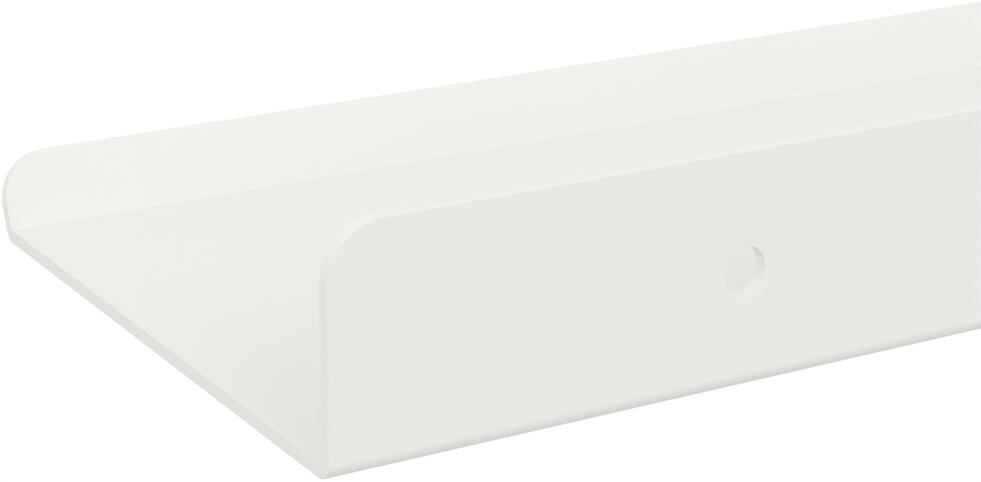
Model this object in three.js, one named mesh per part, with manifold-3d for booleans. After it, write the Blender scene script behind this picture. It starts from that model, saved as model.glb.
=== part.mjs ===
// A floating wall shelf: one folded steel sheet, held to the wall by screws through its tall rear flange.
//
// Millimetres, +Z up. The wall is the plane y = 0 and the room lies on the -Y side.
// The origin is on the wall, midway along the shelf, on the line of the screw holes.

import * as THREE from 'three';
import { mergeVertices } from 'three/addons/utils/BufferGeometryUtils.js';
import Module from 'manifold-3d';

const wasm = await Module();
wasm.setup();

// Driving dimensions

// The sheet. Depth, flange height and lip length run to the sharp lines where its outer faces would meet.
const shelf_length = 600;
const floor_depth = 100;
const flange_height = 32.5;
const lip_length = 12.5;
const lip_lean_degrees = 21;
const sheet_thickness = 2;
const bend_inside_radius = 0.5;
const corner_radius = 7.5;

// The screw holes, in one row along the wall flange. The middle two take the screws and the rest are spare.
const hole_count = 4;
const hole_radius = 3.25;
const hole_height = 16.5;
const hole_end_distance = 60;

// The pan head screws
const screw_length = 50;
const screw_radius = 2.5;
const screw_tip_length = 7;
const head_radius = 4.75;
const head_height = 3.2;
const head_rim_height = 1.1;
const head_flat_share = 0.45;
const recess_radius = 2.5;
const recess_depth = 2.7;
const recess_wing_width = 1.1;

// The washers under the heads
const washer_radius = 6;
const washer_thickness = 1;
const washer_clearance = 0.3;

// The expanding wall plugs, pushed in until they lie just below the wall's surface
const plug_length = 40;
const plug_radius = 4;
const plug_sink = 3;
const plug_neck_length = 9;
const plug_nose_length = 4;
const plug_nose_radius = 3;
const plug_groove_depth = 0.5;
const plug_barb_count = 7;
const plug_slot_width = 1;
const plug_clearance = 0.3;
const fin_reach = 1.1;
const fin_thickness = 1;
const fin_lead_share = 0.4;

// How far a cutting shape runs past the surface that it cuts
const overrun = 1;

// Facets to a bend, to a rounded corner and round a full circle
const bend_steps = 10;
const corner_steps = 16;
const hole_sides = 48;
const turned_sides = 32;
const crown_steps = 6;

const degree = Math.PI / 180;

// Materials

const powder_coat = new THREE.MeshStandardMaterial({
  name: 'white_powder_coat', color: 0xeeeeea, roughness: 0.55, metalness: 0, flatShading: true,
});
const zinc_plate = new THREE.MeshStandardMaterial({
  name: 'zinc_plated_steel', color: 0xb9bcc0, roughness: 0.35, metalness: 0.9, flatShading: true,
});
const grey_nylon = new THREE.MeshStandardMaterial({
  name: 'grey_nylon', color: 0x8d9194, roughness: 0.6, metalness: 0, flatShading: true,
});

// Solid operations

function solidFrom(geometry) {
  const bare = geometry.clone();
  bare.deleteAttribute('normal');
  bare.deleteAttribute('uv');
  const merged = mergeVertices(bare);
  return new wasm.Manifold(new wasm.Mesh({
    numProp: 3,
    vertProperties: new Float32Array(merged.attributes.position.array),
    triVerts: new Uint32Array(merged.index.array),
  }));
}

function geometryFrom(solid) {
  const mesh = solid.getMesh();
  const geometry = new THREE.BufferGeometry();
  geometry.setAttribute('position', new THREE.BufferAttribute(mesh.vertProperties, 3));
  geometry.setIndex(new THREE.BufferAttribute(mesh.triVerts, 1));
  geometry.computeVertexNormals();
  return geometry;
}

function cutAway(geometry, cutters) {
  let solid = solidFrom(geometry);
  for (const cutter of cutters) {
    solid = solid.subtract(solidFrom(cutter));
  }
  return geometryFrom(solid);
}

// A solid turned about the Y axis from a path of (radius, y) that runs up its outside.
function turned(path) {
  return new THREE.LatheGeometry(path.getPoints(crown_steps), turned_sides);
}

// The folded sheet, in its section: x is the shelf's Y and y is the shelf's Z

const lip_lean = lip_lean_degrees * degree;
const underside = -hole_height;
const bend_outside_radius = bend_inside_radius + sheet_thickness;

const wall_flange = {
  top: new THREE.Vector2(0, underside + flange_height),
  up: new THREE.Vector2(0, 1),
  inward: new THREE.Vector2(-1, 0),
};

const lip_up = new THREE.Vector2(-Math.sin(lip_lean), Math.cos(lip_lean));
const lip = {
  top: new THREE.Vector2(-floor_depth, underside).addScaledVector(lip_up, lip_length),
  up: lip_up,
  inward: new THREE.Vector2(Math.cos(lip_lean), Math.sin(lip_lean)),
};

// The sheet keeps its thickness round both bends, so the arcs of its two faces share their centres.
function sheetSection() {
  const down = -Math.PI / 2;
  const lip_turn = Math.PI / 2 - lip_lean;
  const lip_tangent = bend_outside_radius * Math.tan(lip_turn / 2);
  const centre_height = underside + bend_outside_radius;
  const wall_bend = new THREE.Vector2(-bend_outside_radius, centre_height);
  const lip_bend = new THREE.Vector2(-floor_depth + lip_tangent, centre_height);
  const lip_inner_top = lip.top.clone().addScaledVector(lip.inward, sheet_thickness);
  const wall_inner_top = wall_flange.top.clone().addScaledVector(wall_flange.inward, sheet_thickness);

  const section = new THREE.Shape();
  section.moveTo(wall_inner_top.x, wall_inner_top.y);
  section.lineTo(wall_flange.top.x, wall_flange.top.y);
  section.absarc(wall_bend.x, wall_bend.y, bend_outside_radius, 0, down, true);
  section.absarc(lip_bend.x, lip_bend.y, bend_outside_radius, down, down - lip_turn, true);
  section.lineTo(lip.top.x, lip.top.y);
  section.lineTo(lip_inner_top.x, lip_inner_top.y);
  section.absarc(lip_bend.x, lip_bend.y, bend_inside_radius, down - lip_turn, down, false);
  section.absarc(wall_bend.x, wall_bend.y, bend_inside_radius, down, 0, false);
  section.closePath();
  return section;
}

function foldedSheet() {
  const sheet = new THREE.ExtrudeGeometry(sheetSection(), {
    depth: shelf_length, curveSegments: bend_steps, bevelEnabled: false,
  });
  const along = new THREE.Vector3(1, 0, 0);
  const back = new THREE.Vector3(0, 1, 0);
  const up = new THREE.Vector3(0, 0, 1);
  sheet.applyMatrix4(new THREE.Matrix4().makeBasis(back, up, along));
  sheet.translate(-shelf_length / 2, 0, 0);
  return sheet;
}

// What is cut off a flange where its top edge meets the end of the sheet, leaving a rounded corner.
// It is drawn in the flange's own plane, with x inwards from the end and y down from the top edge.
function cornerCutter(flange, end) {
  const waste = new THREE.Shape();
  waste.moveTo(-overrun, -overrun);
  waste.lineTo(corner_radius, -overrun);
  waste.absarc(corner_radius, corner_radius, corner_radius, -Math.PI / 2, -Math.PI, true);
  waste.lineTo(-overrun, corner_radius);
  waste.closePath();
  const depth = sheet_thickness + 2 * overrun;
  const cutter = new THREE.ExtrudeGeometry(waste, {
    depth, curveSegments: corner_steps, bevelEnabled: false,
  });
  cutter.translate(0, 0, -depth / 2);
  const middle = flange.top.clone().addScaledVector(flange.inward, sheet_thickness / 2);
  const inwards = new THREE.Vector3(-end, 0, 0);
  const down = new THREE.Vector3(0, -flange.up.x, -flange.up.y);
  const through = inwards.clone().cross(down);
  const place = new THREE.Matrix4().makeBasis(inwards, down, through);
  place.setPosition(end * shelf_length / 2, middle.x, middle.y);
  return cutter.applyMatrix4(place);
}

const hole_spacing = (shelf_length - 2 * hole_end_distance) / (hole_count - 1);

function holeAlong(index) {
  return -shelf_length / 2 + hole_end_distance + index * hole_spacing;
}

function holeCutter(index) {
  const depth = sheet_thickness + 2 * overrun;
  const cutter = new THREE.CylinderGeometry(hole_radius, hole_radius, depth, hole_sides);
  return cutter.translate(holeAlong(index), -sheet_thickness / 2, 0);
}

function shelfBody() {
  const cutters = [];
  for (const end of [-1, 1]) {
    cutters.push(cornerCutter(wall_flange, end), cornerCutter(lip, end));
  }
  for (let index = 0; index < hole_count; index += 1) {
    cutters.push(holeCutter(index));
  }
  return cutAway(foldedSheet(), cutters);
}

// The screw, with y = 0 under its head and the point at +Y

// A cross recess: four wings that narrow to a point on the axis.
function crossRecess() {
  const arm = recess_radius + overrun;
  const half = recess_wing_width / 2;
  const cross = new THREE.Shape([
    [half, half], [half, arm], [-half, arm], [-half, half],
    [-arm, half], [-arm, -half], [-half, -half], [-half, -arm],
    [half, -arm], [half, -half], [arm, -half], [arm, half],
  ].map(([x, y]) => new THREE.Vector2(x, y)));
  const depth = recess_depth + 2 * overrun;
  const wings = new THREE.ExtrudeGeometry(cross, { depth, bevelEnabled: false });
  wings.rotateX(Math.PI / 2);
  wings.translate(0, depth - overrun, 0);
  const funnel = new THREE.Path();
  funnel.moveTo(0, -overrun);
  funnel.lineTo(recess_radius, -overrun);
  funnel.lineTo(recess_radius, 0);
  funnel.lineTo(0, recess_depth);
  const recess = solidFrom(wings).intersect(solidFrom(turned(funnel)));
  return geometryFrom(recess).translate(0, -head_height, 0);
}

function wallScrew() {
  const flat_radius = head_radius * head_flat_share;
  const outline = new THREE.Path();
  outline.moveTo(0, -head_height);
  outline.lineTo(flat_radius, -head_height);
  outline.quadraticCurveTo(head_radius, -head_height, head_radius, -head_rim_height);
  outline.lineTo(head_radius, 0);
  outline.lineTo(screw_radius, 0);
  outline.lineTo(screw_radius, screw_length - screw_tip_length);
  outline.lineTo(0, screw_length);
  return cutAway(turned(outline), [crossRecess()]);
}

// The washer, with y = 0 on the face that the screw head presses

function flatWasher() {
  const bore = screw_radius + washer_clearance;
  const outline = new THREE.Path();
  outline.moveTo(bore, 0);
  outline.lineTo(washer_radius, 0);
  outline.lineTo(washer_radius, washer_thickness);
  outline.lineTo(bore, washer_thickness);
  outline.closePath();
  return turned(outline);
}

// The plug, with y = 0 at its mouth

// How far the screw reaches past the plug's mouth
const screw_past_mouth = screw_length - washer_thickness - sheet_thickness - plug_sink;

// The bore follows the screw at an even clearance, down to where the nose closes round the point.
function plugBoreRadius(along) {
  const point_left = THREE.MathUtils.clamp(screw_past_mouth - along, 0, screw_tip_length);
  return screw_radius * point_left / screw_tip_length + plug_clearance;
}

// Each barb is steep towards the mouth and slopes towards the nose, so the plug goes in but not out.
function plugBody() {
  const barbed_length = plug_length - plug_neck_length - plug_nose_length;
  const barb_pitch = barbed_length / plug_barb_count;
  const groove_radius = plug_radius - plug_groove_depth;
  const taper_start = Math.min(screw_past_mouth - screw_tip_length, plug_length);
  const outline = new THREE.Path();
  outline.moveTo(plugBoreRadius(0), 0);
  outline.lineTo(plug_radius, 0);
  for (let barb = 0; barb < plug_barb_count; barb += 1) {
    const start = plug_neck_length + barb * barb_pitch;
    outline.lineTo(plug_radius, start);
    outline.lineTo(groove_radius, start + barb_pitch);
  }
  outline.lineTo(plug_nose_radius, plug_length);
  outline.lineTo(plugBoreRadius(plug_length), plug_length);
  outline.lineTo(plugBoreRadius(taper_start), taper_start);
  outline.closePath();
  return turned(outline);
}

// Two fins beside the mouth keep the plug from turning in its hole.
function plugFins() {
  const root = plug_radius - plug_groove_depth;
  const tip = plug_radius + fin_reach;
  const fins = new THREE.Shape();
  fins.moveTo(-tip, 0);
  fins.lineTo(tip, 0);
  fins.lineTo(tip, plug_neck_length * (1 - fin_lead_share));
  fins.lineTo(root, plug_neck_length);
  fins.lineTo(-root, plug_neck_length);
  fins.lineTo(-tip, plug_neck_length * (1 - fin_lead_share));
  fins.closePath();
  const plate = new THREE.ExtrudeGeometry(fins, { depth: fin_thickness, bevelEnabled: false });
  plate.translate(0, 0, -fin_thickness / 2);
  const core = new THREE.CylinderGeometry(root, root, plug_neck_length + 2 * overrun, turned_sides);
  core.translate(0, plug_neck_length / 2, 0);
  return cutAway(plate, [core]);
}

// A slot splits the barbed part into two halves that the screw spreads.
function plugSlot() {
  const length = plug_length - plug_neck_length + overrun;
  const width = 2 * (plug_radius + overrun);
  const slot = new THREE.BoxGeometry(width, length, plug_slot_width);
  return slot.translate(0, plug_neck_length + length / 2, 0);
}

function wallPlug() {
  const whole = solidFrom(plugBody()).add(solidFrom(plugFins()));
  return geometryFrom(whole.subtract(solidFrom(plugSlot())));
}

// Assembly

const shelf = new THREE.Group();

function add(name, geometry, material, x, y) {
  const mesh = new THREE.Mesh(geometry, material);
  mesh.name = name;
  mesh.position.set(x, y, 0);
  shelf.add(mesh);
}

add('shelf_body', shelfBody(), powder_coat, 0, 0);

const middle_of_row = (hole_count - 1) / 2;
const used_holes = { left: Math.ceil(middle_of_row) - 1, right: Math.floor(middle_of_row) + 1 };

for (const [side, index] of Object.entries(used_holes)) {
  const along = holeAlong(index);
  const washer_face = -sheet_thickness - washer_thickness;
  add(`${side}_wall_screw`, wallScrew(), zinc_plate, along, washer_face);
  add(`${side}_washer`, flatWasher(), zinc_plate, along, washer_face);
  add(`${side}_wall_plug`, wallPlug(), grey_nylon, along, plug_sink);
}

export default shelf;
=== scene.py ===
# %% [markdown]
# A folded wall shelf.
#
# The real shelf is one steel sheet that is cut flat, folded twice and powder coated white. A tall flange
# lies on the wall, a flat floor carries small things, and a low lip leans out at the front. Two screws,
# with a washer and a plug each, hold it to the wall.
#
# The packed part is loaded before anything is made, because each piece below lies exactly where its solid
# lies. Its frame is used all through: the wall is the plane Y = 0, the room is on the -Y side, Z is up,
# and the origin is on the line of the screw holes, midway along the shelf.

import math

import bmesh
import bpy
from mathutils import Matrix, Vector


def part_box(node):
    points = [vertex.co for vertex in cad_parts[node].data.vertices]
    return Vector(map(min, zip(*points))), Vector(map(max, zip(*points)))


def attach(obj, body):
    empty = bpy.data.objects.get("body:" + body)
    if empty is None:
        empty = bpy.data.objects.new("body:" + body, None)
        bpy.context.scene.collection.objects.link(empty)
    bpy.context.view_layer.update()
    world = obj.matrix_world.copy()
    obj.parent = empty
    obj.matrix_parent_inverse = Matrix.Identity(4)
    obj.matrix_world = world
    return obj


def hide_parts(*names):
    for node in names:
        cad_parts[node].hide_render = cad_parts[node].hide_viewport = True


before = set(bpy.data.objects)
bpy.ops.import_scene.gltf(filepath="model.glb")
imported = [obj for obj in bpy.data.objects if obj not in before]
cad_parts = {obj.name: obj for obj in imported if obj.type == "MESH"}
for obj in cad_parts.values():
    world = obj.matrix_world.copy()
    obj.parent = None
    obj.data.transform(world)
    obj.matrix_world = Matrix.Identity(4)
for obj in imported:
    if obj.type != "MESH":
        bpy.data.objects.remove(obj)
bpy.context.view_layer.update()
print("packed nodes:", ", ".join(sorted(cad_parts)))

# %% [markdown]
# The shelf's sizes.
#
# The outer sizes come from the packed body, so the sheet made here can't drift from it. The others are
# the sizes that a sheet metal drawing would give: the gauge, the bend radius, the lip and its lean, the
# corner radius and the holes. Lengths are in metres in Blender, so each is written in millimetres times mm.

# %% Sizes of the folded sheet
mm = 0.001
body_low, body_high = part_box("shelf_body")
shelf_length = body_high.x - body_low.x
flange_height = body_high.z - body_low.z
underside = body_low.z

sheet_thickness = 2 * mm
bend_inside_radius = 0.5 * mm
lip_length = 12.5 * mm
lip_lean = math.radians(21)
corner_radius = 7.5 * mm
hole_count = 4
hole_radius = 3.25 * mm
hole_end_distance = 60 * mm
hole_rim_width = 1.5 * mm
floor_depth = -body_low.y - lip_length * math.sin(lip_lean)
print(f"shelf {shelf_length / mm:.1f} long, {floor_depth / mm:.1f} deep, {flange_height / mm:.1f} tall")

# %% [markdown]
# A small language for node trees.
#
# Materials and Geometry Nodes are both graphs of nodes, and a graph made line by line is hard to read.
# Here one class wraps a socket, so that a sum such as 0.8 * peel + 0.2 * grit adds the Math nodes that it
# needs. Numbers alone are still worked out by Python, which costs no nodes.


# %% Values of a tree
def operator(operation, reflected=False):
    """A Python operator that adds one Math node."""
    def apply(value, other):
        pair = [other, value] if reflected else [value, other]
        return value.tree.node("ShaderNodeMath", {"operation": operation}, dict(enumerate(pair)))
    return apply


class Value:
    """An output socket of a tree, to be used in sums."""

    def __init__(self, tree, socket):
        self.tree = tree
        self.socket = socket

    def part(self, name):
        return Value(self.tree, find_socket(self.socket.node.outputs, name))

    def math(self, operation, *others):
        return self.tree.node("ShaderNodeMath", {"operation": operation}, dict(enumerate([self, *others])))

    def between(self, low, high):
        return self.math("MAXIMUM", low).math("MINIMUM", high)

    __add__ = operator("ADD")
    __radd__ = operator("ADD", reflected=True)
    __sub__ = operator("SUBTRACT")
    __rsub__ = operator("SUBTRACT", reflected=True)
    __mul__ = operator("MULTIPLY")
    __rmul__ = operator("MULTIPLY", reflected=True)
    __truediv__ = operator("DIVIDE")


print("sums may start with a number in:", ", ".join(name for name in vars(Value) if name.startswith("__r")))

# %% [markdown]
# Adding nodes.
#
# Math nodes come from sums, and one method adds every other node from its type, its settings and the
# values of its sockets. A value that comes from another node is linked, a plain one is set on the socket,
# and a socket that takes many links, as Join Geometry's does, is given a list. Some nodes have several
# sockets of one name, so a socket can also be found by its identifier or its place.


# %% Trees
def find_socket(sockets, key):
    """A socket by its place, its identifier or its name."""
    if isinstance(key, int):
        return sockets[key]
    return next(socket for socket in sockets if key in (socket.identifier, socket.name))


class Tree:
    """A node tree that is being built."""

    def __init__(self, nodes):
        self.nodes = nodes

    def node(self, kind, settings=None, inputs=None):
        made = self.nodes.nodes.new(kind)
        for name, setting in (settings or {}).items():
            setattr(made, name, setting)
        for key, given in (inputs or {}).items():
            socket = find_socket(made.inputs, key)
            for one in given if isinstance(given, list) else [given]:
                if isinstance(one, Value):
                    self.nodes.links.new(one.socket, socket)
                else:
                    socket.default_value = one
        return Value(self, made.outputs[0]) if made.outputs else None


print("a tree is built by:", ", ".join(name for name in vars(Tree) if not name.startswith("__")))

# %% [markdown]
# Finishes.
#
# A finish is a Principled shader whose colour, roughness and bump vary a little over the surface. Every
# pattern reads Object coordinates, which are the part's own metres here, so a noise can be given the size
# that its grain really has. One helper makes the noise from that size.


# %% A tree for a finish
class Finish(Tree):
    """The node tree of one material."""

    def __init__(self, name):
        self.material = bpy.data.materials.new(name)
        self.material.use_nodes = True
        super().__init__(self.material.node_tree)
        self.nodes.nodes.clear()
        self.place = self.node("ShaderNodeTexCoord").part("Object")

    def grain(self, size, detail=2):
        """A noise from 0 to 1 whose patches are about that size."""
        inputs = {"Vector": self.place, "Scale": 1 / size, "Detail": detail}
        return self.node("ShaderNodeTexNoise", None, inputs)

    def blend(self, share, first, second):
        settings = {"data_type": "RGBA"}
        inputs = {"Factor_Float": share, "A_Color": (*first, 1), "B_Color": (*second, 1)}
        return self.node("ShaderNodeMix", settings, inputs).part("Result_Color")

    def relief(self, height, depth):
        return self.node("ShaderNodeBump", None, {"Height": height, "Distance": depth})

    def surface(self, **sockets):
        named = {name.replace("_", " "): given for name, given in sockets.items()}
        shader = self.node("ShaderNodeBsdfPrincipled", None, named)
        self.show(shader)
        return self.material

    def show(self, shader):
        self.node("ShaderNodeOutputMaterial", None, {"Surface": shader})


def linear(*channels):
    """A colour as a paint chart gives it, from 0 to 255 in sRGB, as the linear light that shaders need."""
    shares = [channel / 255 for channel in channels]
    return tuple(s / 12.92 if s <= 0.04045 else ((s + 0.055) / 1.055) ** 2.4 for s in shares)


print("white paint in linear light:", [round(c, 3) for c in linear(241, 241, 237)])

# %% [markdown]
# White powder coat.
#
# The powder is sprayed on dry and baked until it flows. It never flows quite flat, so the film has a faint
# orange peel about a millimetre across and a finer grit below it, together about a hundredth of a
# millimetre high. The white is slightly warm and drifts a little where the film is thicker. A clear coat
# layer is left out and the specular level is halved, because the coat is one satin film with little gloss.


# %% White powder coat
def white_powder_coat():
    coat = Finish("white_powder_coat")
    drift = coat.grain(40 * mm)
    peel = coat.grain(1.3 * mm, 1)
    grit = coat.grain(0.25 * mm)
    return coat.surface(
        Base_Color=coat.blend(drift, linear(240, 240, 236), linear(242, 242, 237)),
        Specular_IOR_Level=0.25,
        Roughness=0.52 + 0.08 * grit,
        Normal=coat.relief(0.85 * peel + 0.15 * grit, 0.012 * mm),
    )


powder_coat = white_powder_coat()
print("made", powder_coat.name)

# %% [markdown]
# Bright zinc plate.
#
# The screws and washers are steel with a few micrometres of zinc, passivated clear. The film gives the
# metal a cold blue cast that turns to straw in patches, and barrel plating leaves it finely dulled.
# So it is a metal whose colour wanders between the two casts and whose roughness has a fine grain.


# %% Bright zinc plate
def bright_zinc_plate():
    zinc = Finish("bright_zinc_plate")
    cast = zinc.grain(3 * mm, 3)
    tumble = zinc.grain(0.3 * mm, 4)
    return zinc.surface(
        Base_Color=zinc.blend(cast, linear(206, 211, 218), linear(219, 216, 205)),
        Metallic=1.0,
        Roughness=0.22 + 0.2 * tumble,
        Normal=zinc.relief(tumble, 0.006 * mm),
    )


zinc_plate = bright_zinc_plate()
print("made", zinc_plate.name)

# %% [markdown]
# Grey nylon.
#
# The plugs are moulded in a spark eroded tool, which leaves a fine even matt texture, and the grey pigment
# clouds slightly along the flow. The colour moves in patches of a few millimetres, and the bump carries
# the texture of the tool.


# %% Grey nylon
def grey_moulded_nylon():
    nylon = Finish("grey_nylon")
    cloud = nylon.grain(5 * mm)
    texture = nylon.grain(0.18 * mm)
    return nylon.surface(
        Base_Color=nylon.blend(cloud, linear(150, 153, 155), linear(163, 166, 168)),
        Roughness=0.5 + 0.16 * texture,
        Normal=nylon.relief(texture, 0.012 * mm),
    )


grey_nylon = grey_moulded_nylon()
print("made", grey_nylon.name)

# %% [markdown]
# A tree for a shape.
#
# Geometry Nodes describe a shape by rules with named sizes. A tree here lists its inputs and the values
# that they will be set to. Where two parts of a mesh meet, their points lie on each other but for
# rounding, and a merge makes them one. Every tree ends by making copies real and setting the material.

# %% A tree for a shape
same_point = 0.001 * mm


class Shape(Tree):
    """A Geometry Nodes tree with named inputs."""

    def __init__(self, name):
        super().__init__(bpy.data.node_groups.new(name, "GeometryNodeTree"))
        self.nodes.interface.new_socket("Geometry", in_out="OUTPUT", socket_type="NodeSocketGeometry")
        self.start = self.nodes.nodes.new("NodeGroupInput")
        self.given = {}

    def size(self, name, value, kind="Float"):
        """A named input, and the value that a piece sets it to."""
        item = self.nodes.interface.new_socket(name, in_out="INPUT", socket_type="NodeSocket" + kind)
        self.given[item.identifier] = value
        return Value(self, find_socket(self.start.outputs, item.identifier))

    def moved(self, geometry, y):
        shift = self.node("ShaderNodeCombineXYZ", None, {"Y": y})
        return self.node("GeometryNodeTransform", None, {"Geometry": geometry, "Translation": shift})

    def joined(self, *parts):
        """The parts as one mesh, with the points where they meet made one."""
        together = self.node("GeometryNodeJoinGeometry", None, {"Geometry": list(parts)})
        return self.node("GeometryNodeMergeByDistance", None, {"Geometry": together, "Distance": same_point})

    def in_a_row(self, piece, first, spacing, count):
        """Instances of the piece from the first place on, evenly spaced along X."""
        step = self.node("ShaderNodeCombineXYZ", None, {"X": spacing})
        row = {"Count": count, "Start Location": first, "Offset": step}
        points = self.node("GeometryNodeMeshLine", None, row)
        return self.node("GeometryNodeInstanceOnPoints", None, {"Points": points, "Instance": piece})

    def finished(self, geometry, material):
        real = self.node("GeometryNodeRealizeInstances", None, {"Geometry": geometry})
        smooth = self.node("GeometryNodeSetShadeSmooth", None, {"Geometry": real})
        painted = self.node("GeometryNodeSetMaterial", None, {"Geometry": smooth, "Material": material})
        self.node("NodeGroupOutput", None, {"Geometry": painted})
        return self


print(f"points within {same_point / mm:.3f} mm of each other become one")

# %% [markdown]
# From a geometry tree to a plain piece.
#
# A piece that uses a tree sets each of its inputs by the socket's identifier before the tree is first
# worked out. The result is then kept as a plain mesh, and the modifiers come off, so that what is left
# needs no tree to be drawn.


# %% Pieces and modifiers
def new_object(name, mesh=None):
    """An object in the scene with that mesh, or with an empty one."""
    made = bpy.data.objects.new(name, mesh or bpy.data.meshes.new(name))
    bpy.context.scene.collection.objects.link(made)
    return made


def kept_as_mesh(piece):
    """The piece with its modifiers worked into its own mesh."""
    depsgraph = bpy.context.evaluated_depsgraph_get()
    result = bpy.data.meshes.new_from_object(piece.evaluated_get(depsgraph), depsgraph=depsgraph)
    piece.modifiers.clear()
    piece.data = result
    result.name = piece.name
    return piece


def add_modifier(piece, kind, **settings):
    modifier = piece.modifiers.new(kind.lower(), kind)
    for name, setting in settings.items():
        setattr(modifier, name, setting)
    return modifier


def grown(name, shape):
    """A new object with the shape's tree on it and its inputs set."""
    piece = new_object(name)
    nodes = add_modifier(piece, "NODES", node_group=shape.nodes)
    for identifier, value in shape.given.items():
        nodes[identifier] = value
    return piece


def report(piece):
    print(f"{piece.name}: {len(piece.data.vertices)} points, {len(piece.data.polygons)} faces")


# %% [markdown]
# The sheet, cut flat.
#
# The body could be modelled as an extruded section with corners cut off it, but the maker does it the
# other way round: the blank is cut flat, with its holes and rounded corners, and then folded. Following
# that order in Geometry Nodes gives corners that are round in each flange's own plane, and a wall that
# keeps its thickness round the bends, without a single boolean cut.
#
# The tree's inputs are the sizes of the drawing. The blank has five strips: lip, bend, floor, bend, flange.
# A bend's strip is as long as the middle of the sheet is round that bend, and the strips beside it lose
# what the bend takes up.

# %% Geometry tree: sizes of the blank
bend_steps = 14
quarter_turn_steps = 20


class FoldedSheet(Shape):
    """The tree of the shelf body, with its inputs and the flat lengths that follow from them."""

    def __init__(self):
        super().__init__("cut_flat_then_folded")
        self.length = self.size("Length", shelf_length)
        self.depth = self.size("Floor Depth", floor_depth)
        self.height = self.size("Flange Height", flange_height)
        self.lip = self.size("Lip Length", lip_length)
        self.lean = self.size("Lip Lean", lip_lean)
        self.thickness = self.size("Thickness", sheet_thickness)
        self.inside = self.size("Inside Radius", bend_inside_radius)
        self.corner = self.size("Corner Radius", corner_radius)
        self.holes = self.size("Hole Count", hole_count, "Int")
        self.hole_radius = self.size("Hole Radius", hole_radius)
        self.hole_height = self.size("Hole Height", -underside)
        self.hole_end = self.size("Hole End Distance", hole_end_distance)
        self.rim = self.size("Hole Rim", hole_rim_width)
        self.bend_steps = self.size("Bend Steps", bend_steps, "Int")
        self.arc_steps = self.size("Arc Steps", quarter_turn_steps, "Int")
        self.paint = self.size("Paint", powder_coat, "Material")

        self.outside = self.inside + self.thickness
        self.middle = self.inside + self.thickness / 2
        self.turn = math.pi / 2 - self.lean
        tangent = self.outside * (self.turn / 2).math("TANGENT")
        self.flange_flat = self.height - self.outside
        self.wall_bend = self.middle * (math.pi / 2)
        self.floor_flat = self.depth - self.outside - tangent
        self.lip_bend = self.middle * self.turn
        self.lip_flat = self.lip - tangent


sheet = FoldedSheet()
print("inputs of the sheet's tree:", len(sheet.given))

# %% [markdown]
# The strips.
#
# The blank lies in the XY plane, with the lip's top edge at Y = 0 and the wall flange's at the far end.
# The bends and the floor are plain grids. The lip and the flange each have two rounded corners, which a
# grid can't have, so they are outlines whose corners a Fillet Curve node rounds before they are filled.


# %% Geometry tree: strips
def strip(tree, start, width, steps):
    """A plain strip of the blank, from start to start + width, in so many steps."""
    sizes = {"Size X": tree.length, "Size Y": width, "Vertices X": 2, "Vertices Y": steps + 1}
    return tree.moved(tree.node("GeometryNodeMeshGrid", None, sizes), start + width / 2)


def rounded_strip(tree, start, width, side, openings=()):
    """A strip whose two corners on one side are rounded, with any openings left out of it."""
    box = {"Width": tree.length, "Height": width}
    outline = tree.node("GeometryNodeCurvePrimitiveQuadrilateral", None, box)
    across = tree.node("ShaderNodeSeparateXYZ", None, {0: tree.node("GeometryNodeInputPosition")})
    on_side = (across.part("Y") * side).math("GREATER_THAN", 0)
    arcs = {"Curve": outline, "Count": tree.arc_steps, "Radius": tree.corner * on_side}
    rounded = tree.node("GeometryNodeFilletCurve", {"mode": "POLY"}, arcs)
    edges = [tree.moved(rounded, start + width / 2), *openings]
    together = tree.node("GeometryNodeJoinGeometry", None, {"Geometry": edges})
    return tree.node("GeometryNodeFillCurve", {"mode": "NGONS"}, {"Curve": together})


print("steps in a bend:", bend_steps)

# %% [markdown]
# The screw holes.
#
# A hole could be left out of the flange's outline as it is, but its edge is to be rounded later, and that
# needs even faces beside it. So each hole has a rim, a ring of small faces of one size, and the rest of
# the flange is filled in round the rims. The rim is a straight grid that is rolled into a circle.


# %% Geometry tree: screw holes
def at_holes(tree, piece, along_blank):
    """A copy of the piece at each screw hole, evenly spaced between the two end distances."""
    first = tree.hole_end - tree.length / 2
    place = tree.node("ShaderNodeCombineXYZ", None, {"X": first, "Y": along_blank})
    copies = tree.in_a_row(piece, place, -2 * first / (tree.holes - 1), tree.holes)
    return tree.node("GeometryNodeRealizeInstances", None, {"Geometry": copies})


def rim_circle(tree):
    """The outer circle of the rim round a hole."""
    circle = {"Resolution": 4 * tree.arc_steps, "Radius": tree.hole_radius + tree.rim}
    return tree.node("GeometryNodeCurvePrimitiveCircle", None, circle)


def hole_rim(tree):
    """A ring round a hole: a grid as long as a turn in radians, rolled into a circle."""
    points_round = 4 * tree.arc_steps + 1
    sizes = {"Size X": 2 * math.pi, "Size Y": tree.rim, "Vertices X": points_round, "Vertices Y": 2}
    flat = tree.node("GeometryNodeMeshGrid", None, sizes)
    point = tree.node("ShaderNodeSeparateXYZ", None, {0: tree.node("GeometryNodeInputPosition")})
    radius = tree.hole_radius + tree.rim / 2 + point.part("Y")
    angle = 0 - point.part("X")
    rolled = {"X": radius * angle.math("COSINE"), "Y": radius * angle.math("SINE")}
    place = tree.node("ShaderNodeCombineXYZ", None, rolled)
    return tree.node("GeometryNodeSetPosition", None, {"Geometry": flat, "Position": place})


print("steps round a hole:", 4 * quarter_turn_steps)

# %% [markdown]
# The whole blank.
#
# The strips lie edge to edge, each from where the one before it ends, and are joined into one mesh. One
# plate could be cut into strips instead, but separate strips let only the bends have many steps.


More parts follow.
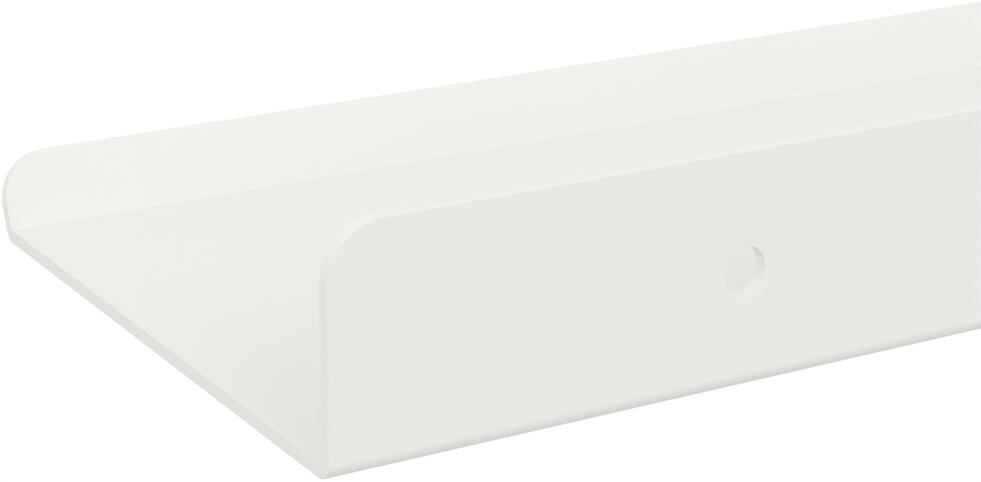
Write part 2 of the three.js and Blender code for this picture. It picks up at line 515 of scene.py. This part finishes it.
# %% Geometry tree: the whole blank
def flat_blank(tree):
    """The flat blank, and how long it is from the lip's top to the flange's top."""
    floor_start = tree.lip_flat + tree.lip_bend
    wall_bend_start = floor_start + tree.floor_flat
    flange_start = wall_bend_start + tree.wall_bend
    end = flange_start + tree.flange_flat
    hole_line = end - tree.height + tree.hole_height
    hole_edges = at_holes(tree, rim_circle(tree), hole_line)
    strips = [
        rounded_strip(tree, 0, tree.lip_flat, -1),
        strip(tree, tree.lip_flat, tree.lip_bend, tree.bend_steps),
        strip(tree, floor_start, tree.floor_flat, 1),
        strip(tree, wall_bend_start, tree.wall_bend, tree.bend_steps),
        rounded_strip(tree, flange_start, tree.flange_flat, 1, [hole_edges]),
        at_holes(tree, hole_rim(tree), hole_line),
    ]
    return tree.joined(*strips), end


blank, blank_length = flat_blank(sheet)
print("nodes for the flat blank:", len(sheet.nodes.nodes))

# %% [markdown]
# The fold.
#
# The flat blank is first given its thickness: its faces are pushed up, and the pushed faces, their side
# walls and the blank turned over together close the plate. Then every point moves to where the folds
# carry it. With s as a point's distance from the flange's top edge, s splits into five parts, one for each
# strip and held within it. A bend turns its part into an angle about the bend's centre, at a radius that
# shrinks with the height in the plate, and a flat strip only slides along. A chain of turned objects could
# do the same, but one formula has no joints.


# %% Geometry tree: thickness and folds
def plate_from(tree, blank):
    raised = {"Mesh": blank, "Offset Scale": tree.thickness, "Individual": False}
    top_and_sides = tree.node("GeometryNodeExtrudeMesh", {"mode": "FACES"}, raised)
    bottom = tree.node("GeometryNodeFlipFaces", None, {"Mesh": blank})
    return tree.joined(top_and_sides, bottom)


def folded(tree, plate, blank_length):
    point = tree.node("ShaderNodeSeparateXYZ", None, {0: tree.node("GeometryNodeInputPosition")})
    s = blank_length - point.part("Y")
    radius = tree.outside - point.part("Z")
    past_flange = s - tree.flange_flat
    past_wall_bend = past_flange - tree.wall_bend
    past_floor = past_wall_bend - tree.floor_flat
    past_lip_bend = past_floor - tree.lip_bend

    up_flange = (0 - past_flange).math("MAXIMUM", 0)
    wall_turn = (past_flange / tree.middle).between(0, math.pi / 2)
    along_floor = past_wall_bend.between(0, tree.floor_flat)
    lip_turn = (past_floor / tree.middle).between(0, tree.turn)
    up_lip = past_lip_bend.math("MAXIMUM", 0)

    lean_sine = tree.lean.math("SINE")
    lean_cosine = tree.lean.math("COSINE")
    forward = along_floor + radius * lip_turn.math("SINE") + up_lip * lean_sine
    y = radius * wall_turn.math("COSINE") - tree.outside - forward
    drop = radius * wall_turn.math("SINE") * lip_turn.math("COSINE")
    z = underside + tree.outside + up_flange - drop + up_lip * lean_cosine
    place = tree.node("ShaderNodeCombineXYZ", None, {"X": point.part("X"), "Y": y, "Z": z})
    return tree.node("GeometryNodeSetPosition", None, {"Geometry": plate, "Position": place})


sheet.finished(folded(sheet, plate_from(sheet, blank), blank_length), sheet.paint)
print("nodes in the sheet's tree:", len(sheet.nodes.nodes))

# %% [markdown]
# The coated edges.
#
# The cutter leaves the sheet's edges square, and the powder then flows over them and bakes to a very small
# round, so that one face passes softly into the next. A Bevel modifier rounds every edge that is sharper
# than the steps of the bends, and a Weighted Normal modifier keeps the large faces flat in the light
# while the rounds stay soft. A bevel goes wrong where thin triangles meet at an edge, which is why the
# blank has an even rim round each hole and one whole face beside its rounded corners.

# %% Shelf body
edge_round = 0.05 * mm
edge_round_steps = 4
sharp_edge_angle = math.radians(50)
shelf_body = grown("folded_shelf_body", sheet)
add_modifier(
    shelf_body, "BEVEL", width=edge_round, segments=edge_round_steps, limit_method="ANGLE",
    angle_limit=sharp_edge_angle, use_clamp_overlap=False,
)
add_modifier(shelf_body, "WEIGHTED_NORMAL", mode="FACE_AREA", keep_sharp=True)
kept_as_mesh(shelf_body)
report(shelf_body)

# %% [markdown]
# Turned pieces.
#
# Screws, washers and plugs are round, so each starts as an outline that is turned about the Y axis, as on
# a lathe. An outline's corners are eased by a small curve first, because no rolled or moulded edge is
# truly sharp, and an eased edge catches the light.


# %% Helpers for outlines
def eased(points, radius, closed=False, steps=3):
    """The outline with each corner drawn as a small curve. The ends of an open outline stay."""
    corners = [Vector(point) for point in points]
    if closed:
        corners = [corners[-1], *corners, corners[0]]
    line = [] if closed else [corners[0]]
    for before, corner, after in zip(corners, corners[1:], corners[2:]):
        room = min(radius, (before - corner).length / 2, (after - corner).length / 2)
        start = corner + (before - corner).normalized() * room
        end = corner + (after - corner).normalized() * room
        for step in range(steps + 1):
            share = step / steps
            line.append(start.lerp(corner, share).lerp(corner.lerp(end, share), share))
    return line if closed else [*line, corners[-1]]


def curved(start, pull, end, steps=8):
    """Points on a curve from start to end that bulges towards pull, without its first point."""
    start, pull, end = Vector(start), Vector(pull), Vector(end)
    shares = [step / steps for step in range(1, steps + 1)]
    return [start.lerp(pull, share).lerp(pull.lerp(end, share), share) for share in shares]


print("points of one eased corner:", len(eased([(0, 0), (1, 0), (1, 1)], 0.1)) - 2)

# %% [markdown]
# From an outline to a closed piece.
#
# A Screw modifier could turn an outline, but the thread and the poles need points that are placed one by
# one. Each point of an outline becomes a ring of points, or one pole where it lies on the axis, and faces
# join each ring to the next. Points that coincide are merged at the end, so that the mesh is closed.

# %% Helpers for turned pieces
turned_sides = 64


def turn_angle(side):
    return 2 * math.pi * side / turned_sides


def ring_of(shape, radius, along):
    """A ring of points round the Y axis, or one point where the radius is nothing."""
    sides = range(turned_sides if radius > 0 else 1)
    angles = [turn_angle(side) for side in sides]
    return [shape.verts.new((radius * math.sin(a), along, radius * math.cos(a))) for a in angles]


def skin(shape, rings):
    """Faces between each ring and the next."""
    for lower, upper in zip(rings, rings[1:]):
        for side in range(max(len(lower), len(upper))):
            following = side + 1
            corners = [
                lower[side % len(lower)], lower[following % len(lower)],
                upper[following % len(upper)], upper[side % len(upper)],
            ]
            shape.faces.new(list(dict.fromkeys(corners)))


def into_piece(shape, piece):
    """Puts the shape into the piece's mesh: points that coincide merged, empty faces gone, faces outwards."""
    bmesh.ops.remove_doubles(shape, verts=shape.verts, dist=same_point)
    bmesh.ops.dissolve_degenerate(shape, dist=same_point, edges=shape.edges)
    bmesh.ops.recalc_face_normals(shape, faces=shape.faces)
    shape.to_mesh(piece.data)
    shape.free()
    return piece


def closed_piece(name, shape):
    """A new piece from the shape."""
    return into_piece(shape, new_object(name))


def turned(name, outline, closed=False):
    """A new piece from an outline of radii and places along Y, turned about the Y axis."""
    shape = bmesh.new()
    rings = [ring_of(shape, radius, along) for radius, along in outline]
    skin(shape, [*rings, rings[0]] if closed else rings)
    return closed_piece(name, shape)


print("sides of a turned piece:", turned_sides)

# %% [markdown]
# The wall screw.
#
# The screw is a 5 mm pan head: a low dome with a short straight rim, on a plain neck as thin as the core
# of the thread. The head is round, so an outline is enough for it. It runs from the middle of the head's
# top to the start of the thread.

# %% Sizes of the wall screw
screw_length = 50 * mm
screw_radius = 2.5 * mm
core_radius = 1.7 * mm
thread_pitch = 2.5 * mm
thread_start = 1.5 * mm
thread_run_in = 1.5 * mm
# The thread's profile, as shares of the pitch and of the thread's height
thread_profile = ((0.30, 0), (0.46, 1), (0.54, 1), (0.70, 0))
screw_tip_length = 7 * mm
head_radius = 4.75 * mm
head_height = 3.2 * mm
head_rim_height = 1.1 * mm
head_flat_share = 0.45
head_edge = 0.2 * mm
print(f"thread turns: {(screw_length - thread_start) / thread_pitch:.1f}")


# %% Wall screw: outline of the head
def head_outline():
    """From the middle of the head's top, round its edge and under it to the start of the thread."""
    flat = (head_radius * head_flat_share, -head_height)
    crown = curved(flat, (head_radius, -head_height), (head_radius, -head_rim_height))
    rim = [(head_radius, -head_rim_height), (head_radius, 0), (core_radius, 0), (core_radius, thread_start)]
    return [(0, -head_height), flat, *crown[:-1], *eased(rim, head_edge)]


print("points of the head's outline:", len(head_outline()))

# %% [markdown]
# The thread.
#
# The thread is rolled into the wire: one ridge that moves on by a pitch each turn. A ridge on level rings
# would come out jagged, so the rings of the thread climb with it: the last point of a ring joins the
# first point of the ring a whole turn further on, and every crest is one clean line. Points that would
# lie past either end are held there and merge, and near the point of the screw every radius shrinks to
# nothing.


# %% Wall screw: thread and point
def thread_point(along, side, height):
    """Where a point of the thread lies, held between the thread's start and the screw's point."""
    held = min(max(along, thread_start), screw_length)
    grown_in = min(1, (held - thread_start) / thread_run_in)
    sharpened = min(1, (screw_length - held) / screw_tip_length)
    radius = (core_radius + (screw_radius - core_radius) * height * grown_in) * sharpened
    angle = turn_angle(side)
    return (radius * math.sin(angle), held, radius * math.cos(angle))


def climbing_rings(shape):
    """One ring for each line of the thread's profile, all climbing by a pitch a turn."""
    turns = math.ceil((screw_length - thread_start) / thread_pitch)
    rings = []
    # One turn before the thread and two after it close both ends, because their points are held there.
    for turn in range(-1, turns + 2):
        for share, height in thread_profile:
            foot = thread_start + (turn + share - 1) * thread_pitch
            points = [
                thread_point(foot + thread_pitch * side / turned_sides, side, height)
                for side in range(turned_sides)
            ]
            rings.append([shape.verts.new(point) for point in points])
    return rings


def skin_climbing(shape, rings):
    """Faces of the thread: after its last point, a ring goes on as the ring one turn further."""
    a_turn = len(thread_profile)
    for index in range(len(rings) - a_turn - 1):
        for side in range(turned_sides):
            on = side + 1 < turned_sides
            following = side + 1 if on else 0
            ahead = index if on else index + a_turn
            shape.faces.new([
                rings[index][side], rings[ahead][following],
                rings[ahead + 1][following], rings[index + 1][side],
            ])


def threaded_screw():
    shape = bmesh.new()
    skin(shape, [ring_of(shape, radius, along) for radius, along in head_outline()])
    skin_climbing(shape, climbing_rings(shape))
    return closed_piece("wall_screw", shape)


screw = threaded_screw()
report(screw)

# %% [markdown]
# The cross recess.
#
# The driver's recess is punched into the head: a cross whose four wings narrow to a small pyramid. The
# cutter has the shape of the punch, a loft through three crosses down to a point, and a boolean takes it
# out of the head.

# %% Wall screw: cross recess
recess_radius = 2.5 * mm
recess_depth = 2.7 * mm
recess_wing_width = 1.1 * mm
recess_taper_share = 0.85
taper_end_arm_share = 1.1
taper_end_wing_share = 0.8
# How far a cutting shape runs past the surface that it cuts
overrun = 1 * mm


def combine(piece, other, operation):
    """Joins another closed mesh to the piece, or cuts it away, and uses it up."""
    add_modifier(piece, "BOOLEAN", operation=operation, object=other, solver="EXACT")
    kept_as_mesh(piece)
    bpy.data.objects.remove(other)
    shape = bmesh.new()
    shape.from_mesh(piece.data)
    return into_piece(shape, piece)


def cross_ring(shape, arm, half, along):
    """The twelve corners of a cross."""
    corners = []
    for quarter in range(4):
        turn = Matrix.Rotation(quarter * math.pi / 2, 2)
        corners += [turn @ Vector(corner) for corner in ((half, half), (arm, half), (arm, -half))]
    corners.sort(key=lambda corner: math.atan2(corner.y, corner.x))
    return [shape.verts.new((corner.x, along, corner.y)) for corner in corners]


def recess_punch():
    half = recess_wing_width / 2
    sections = (
        (recess_radius, half, -overrun),
        (recess_radius, half, 0),
        (half * taper_end_arm_share, half * taper_end_wing_share, recess_depth * recess_taper_share),
    )
    shape = bmesh.new()
    rings = [cross_ring(shape, arm, width, along - head_height) for arm, width, along in sections]
    tip = shape.verts.new((0, recess_depth - head_height, 0))
    skin(shape, [*rings, [tip]])
    shape.faces.new(rings[0])
    return closed_piece("recess_punch", shape)


combine(screw, recess_punch(), "DIFFERENCE")
report(screw)

# %% [markdown]
# The washer.
#
# The washer is a flat ring punched from strip. Two cylinders and a boolean would do, but a closed outline,
# a rectangle with eased corners that is turned about the screw's axis, needs no boolean.

# %% Washer
washer_low, washer_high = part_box("left_washer")
washer_radius = (washer_high.x - washer_low.x) / 2
washer_thickness = washer_high.y - washer_low.y
washer_clearance = 0.3 * mm
washer_bore = screw_radius + washer_clearance
washer_edge = 0.15 * mm
washer_outline = [
    (washer_bore, 0), (washer_radius, 0), (washer_radius, washer_thickness), (washer_bore, washer_thickness),
]
washer = turned("flat_washer", eased(washer_outline, washer_edge, closed=True), closed=True)
report(washer)

# %% [markdown]
# The wall plug.
#
# The plug is moulded nylon. Its neck has two fins that keep it from turning, and behind the neck come
# barbs, steep towards the mouth so that it can't be pulled out, and a slot that lets the screw spread it.
# The barbs go all round, so they are part of an outline that is turned, and the bore is its inner side.

# %% Sizes of the wall plug
plug_length = 40 * mm
plug_radius = 4 * mm
plug_neck_length = 9 * mm
plug_nose_length = 4 * mm
plug_nose_radius = 3 * mm
plug_groove_depth = 0.5 * mm
plug_barb_count = 7
plug_slot_width = 1 * mm
plug_clearance = 0.3 * mm
plug_edge = 0.2 * mm
plug_edge_steps = 3
fin_reach = 1.1 * mm
fin_thickness = 1 * mm
fin_lead_share = 0.4
groove_radius = plug_radius - plug_groove_depth
plug_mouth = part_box("left_wall_plug")[0].y
screw_past_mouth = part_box("left_wall_screw")[1].y - plug_mouth
print(f"the screw reaches {screw_past_mouth / mm:.1f} past the plug's mouth")


# %% Wall plug: turned body
def bore_radius(along):
    """The bore follows the screw at an even clearance, down to where the nose closes round its point."""
    point_left = min(max(screw_past_mouth - along, 0), screw_tip_length)
    return screw_radius * point_left / screw_tip_length + plug_clearance


def plug_outline():
    barb_pitch = (plug_length - plug_neck_length - plug_nose_length) / plug_barb_count
    outside = [(plug_radius, 0)]
    for barb in range(plug_barb_count):
        start = plug_neck_length + barb * barb_pitch
        outside += [(plug_radius, start), (groove_radius, start + barb_pitch)]
    taper_start = screw_past_mouth - screw_tip_length
    inside = [(bore_radius(along), along) for along in (plug_length, taper_start, 0)]
    return [*outside, (plug_nose_radius, plug_length), *inside]


plug = turned("wall_plug", eased(plug_outline(), plug_edge, closed=True), closed=True)
report(plug)

# %% [markdown]
# The plug's fins and slot.
#
# Fins and slot aren't round, so they can't be turned. The mould forms the fins in a cavity and the slot
# round a blade, and here a boolean joins the one and cuts the other. The fins are one thin plate with a
# round core taken out of it, so that no part of it stands in the bore.


# %% Wall plug: fins and slot
def plug_fins():
    """A thin plate with sloping leading ends, hollow where the neck is."""
    tip = plug_radius + fin_reach
    lead = plug_neck_length * (1 - fin_lead_share)
    corners = [(-tip, 0), (tip, 0), (tip, lead), (groove_radius, plug_neck_length)]
    corners += [(-groove_radius, plug_neck_length), (-tip, lead)]
    shape = bmesh.new()
    plate = shape.faces.new([shape.verts.new((x, y, -fin_thickness / 2)) for x, y in corners])
    raised = bmesh.ops.extrude_face_region(shape, geom=[plate])["geom"]
    points = [item for item in raised if isinstance(item, bmesh.types.BMVert)]
    bmesh.ops.translate(shape, verts=points, vec=(0, 0, fin_thickness))
    rounding = {"offset": plug_edge, "segments": plug_edge_steps, "profile": 0.5, "affect": "EDGES"}
    bmesh.ops.bevel(shape, geom=shape.edges, **rounding)
    fins = closed_piece("plug_fins", shape)
    core_outline = [(0, -overrun), (groove_radius, -overrun), (groove_radius, plug_length), (0, plug_length)]
    return combine(fins, turned("fin_core", core_outline), "DIFFERENCE")


def plug_slot():
    """A box that cuts through the plug from the end of its neck to its nose."""
    reach = plug_radius + overrun
    half = plug_slot_width / 2
    low = Vector((-reach, plug_neck_length, -half))
    high = Vector((reach, plug_length + overrun, half))
    shape = bmesh.new()
    bmesh.ops.create_cube(shape, size=1, matrix=Matrix.LocRotScale((low + high) / 2, None, high - low))
    return closed_piece("plug_slot", shape)


combine(plug, plug_fins(), "UNION")
combine(plug, plug_slot(), "DIFFERENCE")
report(plug)

# %% [markdown]
# The same fixing at each used hole.
#
# Both holes take the same screw, washer and plug. A Geometry Nodes row puts a copy of a fixing at every
# used hole, so that a longer shelf would only need another count and spacing. The copies are made real at
# the end of the tree, because instances don't leave Blender with the model.


# %% Geometry tree: row of fixings
used_holes = 2
metal_crease_degrees = 40
nylon_crease_degrees = 35


def fixing_row(fixing, first_hole, spacing, finish):
    row = Shape("row_of_" + fixing.name)
    source = row.size("Fixing", fixing, "Object")
    start = row.size("First Hole", first_hole, "Vector")
    step = row.size("Spacing", spacing)
    count = row.size("Count", used_holes, "Int")
    material = row.size("Finish", finish, "Material")
    single = row.node("GeometryNodeObjectInfo", None, {"Object": source}).part("Geometry")
    return row.finished(row.in_a_row(single, start, step, count), material)


def placed_at_holes(name, fixing, along, finish, crease_degrees):
    """The row of one fixing, its origin at that Y, as a plain mesh. The single fixing is used up."""
    left = sum(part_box("left_wall_screw"), Vector()) / 2
    right = sum(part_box("right_wall_screw"), Vector()) / 2
    tree = fixing_row(fixing, (left.x, along, 0), right.x - left.x, finish)
    piece = kept_as_mesh(grown(name, tree))
    piece.data.set_sharp_from_angle(angle=math.radians(crease_degrees))
    bpy.data.objects.remove(fixing)
    report(piece)
    return piece


print("holes with a fixing:", used_holes)

# %% [markdown]
# The fixings in place.
#
# The screws and the washers both start at the washers' room side, where the screw heads press, and the
# plugs start at their own mouth. Creases in metal stay sharp from a slightly larger angle than in nylon.

# %% Fixings in place
wall_screws = placed_at_holes("wall_screws", screw, washer_low.y, zinc_plate, metal_crease_degrees)
flat_washers = placed_at_holes("flat_washers", washer, washer_low.y, zinc_plate, metal_crease_degrees)
wall_plugs = placed_at_holes("wall_plugs", plug, plug_mouth, grey_nylon, nylon_crease_degrees)

# %% [markdown]
# Which solid each piece stands for.
#
# The shelf has no moving parts, so everything rides on the one body. Each dressed piece hides the solid
# that it stands for. The table also lists the name of each piece's material slot.

# %% Pieces on the body
for piece, nodes, slot in (
    (shelf_body, ["shelf_body"], "white_powder_coat"),
    (wall_screws, ["left_wall_screw", "right_wall_screw"], "zinc_plated_steel"),
    (flat_washers, ["left_washer", "right_washer"], "zinc_plated_steel"),
    (wall_plugs, ["left_wall_plug", "right_wall_plug"], "grey_nylon"),
):
    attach(piece, "root")
    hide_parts(*nodes)
    print(piece.name, "stands for", ", ".join(nodes))

# %% [markdown]
# The stage's floor.
#
# A white thing on white needs light that is soft but not quite even, or its faces run together. The
# stage's floor is a pale sheet well below the shelf. It looks white to the camera and in reflections but
# returns less light, so that faces that look down are the darkest. It keeps the shelf's faint shadow, and
# it is see-through from below, so that the underside can be looked at as well. Its reach is in metres.

# %% Floor
floor_drop = 350 * mm
floor_reach = 60
floor_paint = (0.6, 0.6, 0.6, 1)
floor_lift = 0.445


def seen_directly(tree):
    """1 for what the camera sees, also in a reflection or through glass, and 0 for light on a surface."""
    path = tree.node("ShaderNodeLightPath")
    rays = [path.part(name) for name in ("Is Camera Ray", "Is Glossy Ray", "Is Transmission Ray")]
    return rays[0].math("MAXIMUM", rays[1]).math("MAXIMUM", rays[2])


def pale_floor():
    paper = Finish("pale_floor")
    matt = paper.node("ShaderNodeBsdfDiffuse", None, {"Color": floor_paint})
    glow = paper.node("ShaderNodeEmission", None, {"Strength": floor_lift * seen_directly(paper)})
    lifted = paper.node("ShaderNodeAddShader", None, {0: matt, 1: glow})
    below = paper.node("ShaderNodeNewGeometry").part("Backfacing")
    clear = paper.node("ShaderNodeBsdfTransparent")
    paper.show(paper.node("ShaderNodeMixShader", None, {"Fac": below, 1: lifted, 2: clear}))
    return paper.material


floor_mesh = bpy.data.meshes.new("floor")
quarters = [(-1, -1), (1, -1), (1, 1), (-1, 1)]
corners = [(x * floor_reach, y * floor_reach, underside - floor_drop) for x, y in quarters]
floor_mesh.from_pydata(corners, [], [range(len(corners))])
floor_mesh.materials.append(pale_floor())
floor = new_object("floor", floor_mesh)
print(f"floor {floor_drop / mm:.0f} below the shelf")

# %% [markdown]
# The tent.
#
# The world is a plain white tent. It gives a little more light from its right side, which lifts the cut
# ends out of the underside's tone, and from its wall side, which sets the flanges off from the shelf's
# floor. A lamp alone could do that, but it would draw a bright line along every rounded edge that faces
# it, and a tent has no such direction.

# %% World
tent_light = 0.793
rise_to_the_right = 0.329
rise_to_the_wall = 0.409


def white_tent():
    world = bpy.data.worlds.new("white_tent")
    world.use_nodes = True
    tent = Tree(world.node_tree)
    tent.nodes.nodes.clear()
    direction = tent.node("ShaderNodeTexCoord").part("Generated")
    sides = tent.node("ShaderNodeSeparateXYZ", None, {0: direction})
    to_the_right, to_the_wall = (sides.part(axis).math("MAXIMUM", 0) for axis in "XY")
    as_light = tent_light + rise_to_the_right * to_the_right + rise_to_the_wall * to_the_wall
    strength = as_light + (1 - as_light) * seen_directly(tent)
    glow = tent.node("ShaderNodeBackground", None, {"Color": (1, 1, 1, 1), "Strength": strength})
    tent.node("ShaderNodeOutputWorld", None, {"Surface": glow})
    return world


bpy.context.scene.world = white_tent()
print(f"tent light from the wall: {tent_light + rise_to_the_wall:.2f}, from the room: {tent_light:.2f}")

# %% [markdown]
# The lamp.
#
# One large soft lamp stands on the wall's side and a little above. It is weak, because the tent does most
# of the work, but it gives the plugs and the points of the screws, which stand out on that side, a bright
# side and a dark one. It is wide for its distance, so that its shadows have no edge. Distance and width
# are in metres.

# %% Lamp
lamp_direction = Vector((0, 0.91, 0.42)).normalized()
lamp_distance = 2.2
lamp_width = 1.6
lamp_power = 3.2

lamp_data = bpy.data.lights.new("soft_lamp", "AREA")
lamp_data.shape = "DISK"
lamp_data.size = lamp_width
lamp_data.energy = lamp_power
lamp = bpy.data.objects.new("soft_lamp", lamp_data)
lamp.location = lamp_direction * lamp_distance
lamp.rotation_euler = lamp_direction.to_track_quat("Z", "Y").to_euler()
bpy.context.scene.collection.objects.link(lamp)
print("lamp at", [round(c, 2) for c in lamp.location])

# %% [markdown]
# The camera.
#
# The picture is taken from the wall's side, close to the shelf's right end and slightly from above, with
# a lens long enough that the depth hardly shrinks. Its place, its three angles and its focal length come
# from fitting the edges of the shelf to the edges in the picture. The focal length is in millimetres, as on
# a real lens.

# %% Camera
camera_place = Vector((444.627, 273.495, 123.913)) * mm
heading_degrees = 148.636
downward_degrees = 19.489
roll_degrees = 0.785
focal_length = 104.373
sensor_width = 36
nearest_seen = 10 * mm

camera_data = bpy.data.cameras.new("camera")
camera_data.lens = focal_length
camera_data.sensor_width = sensor_width
camera_data.clip_start = nearest_seen
camera = bpy.data.objects.new("camera", camera_data)
turns = Matrix.Rotation(math.radians(heading_degrees), 4, "Z")
turns @= Matrix.Rotation(math.radians(90 - downward_degrees), 4, "X")
turns @= Matrix.Rotation(math.radians(roll_degrees), 4, "Z")
camera.matrix_world = Matrix.Translation(camera_place) @ turns
bpy.context.scene.collection.objects.link(camera)
bpy.context.scene.camera = camera
bpy.context.scene.view_settings.view_transform = "Standard"
print(f"lens {focal_length:.1f} mm, {camera_place.length / mm:.0f} from the origin")

# %% [markdown]
# The size of the dressed shelf.
#
# Dressing must not change the shelf's size.
